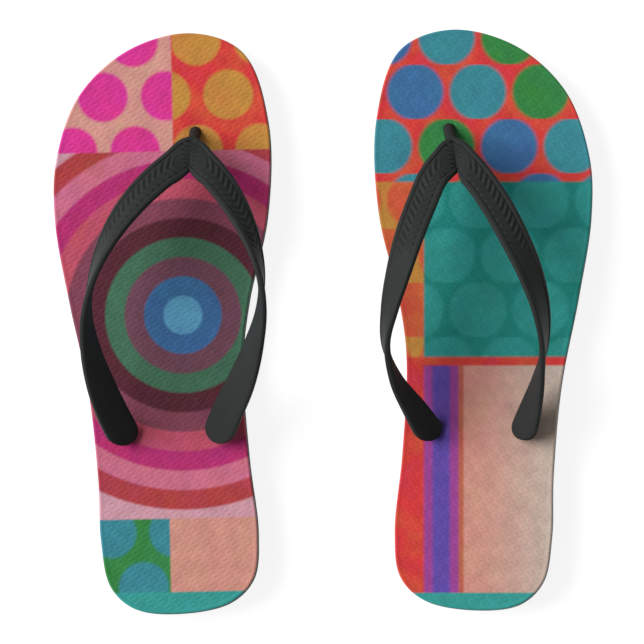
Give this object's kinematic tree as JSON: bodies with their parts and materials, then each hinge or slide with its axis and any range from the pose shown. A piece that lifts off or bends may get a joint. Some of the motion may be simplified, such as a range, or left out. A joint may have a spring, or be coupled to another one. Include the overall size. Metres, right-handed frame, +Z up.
{
  "type": "pair of thong sandals",
  "caption": "Pair of adult thong sandals: layered rubber soles with a printed embossed footbed and a moulded V strap with a toe post; soles bend at the ball of the foot.",
  "frame": {"origin": "on the ground, at the middle of the pair's bounding box", "axes": "+Y towards the toes, +X towards the wearer's right, +Z up; millimetre model, metres here"},
  "size_m": [0.2492, 0.2702, 0.0665],
  "materials": {
    "left_print": "matt embossed rubber sheet with a printed abstract pattern in pink, red, blue and green",
    "right_print": "matt embossed rubber sheet with a printed abstract pattern in orange, teal, pink and violet",
    "midsole": "matt black foam rubber with cut sides",
    "outsole": "matt black tread rubber",
    "strap": "satin charcoal moulded rubber with embossed ribs"
  },
  "bodies": {
    "left_rear": {"left_top_sheet_rear": "left_print", "left_midsole_rear": "midsole", "left_outsole_rear": "outsole", "left_strap": "strap"},
    "left_fore": {"left_top_sheet_fore": "left_print", "left_midsole_fore": "midsole", "left_outsole_fore": "outsole"},
    "right_rear": {"right_top_sheet_rear": "right_print", "right_midsole_rear": "midsole", "right_outsole_rear": "outsole", "right_strap": "strap"},
    "right_fore": {"right_top_sheet_fore": "right_print", "right_midsole_fore": "midsole", "right_outsole_fore": "outsole"}
  },
  "joints": [
    {"name": "left_toe_flex", "type": "hinge", "parent": "left_rear", "child": "left_fore", "pos_m": [-0.0714, 0.03993, 0.01587], "axis": [0.9998, 0.0209, 0], "range_deg": [0, 40], "stiffness_Nm_per_rad": 0.6, "deforming": ["left_strap"]},
    {"name": "right_sandal_lift", "type": "slide", "parent": "left_rear", "child": "right_rear", "axis": [0, 0, 1], "range_m": [0, 0.12]},
    {"name": "right_toe_flex", "type": "hinge", "parent": "right_rear", "child": "right_fore", "pos_m": [0.07186, 0.04156, 0.01587], "axis": [1, 0, 0], "range_deg": [0, 40], "stiffness_Nm_per_rad": 0.6, "deforming": ["right_strap"]}
  ]
}
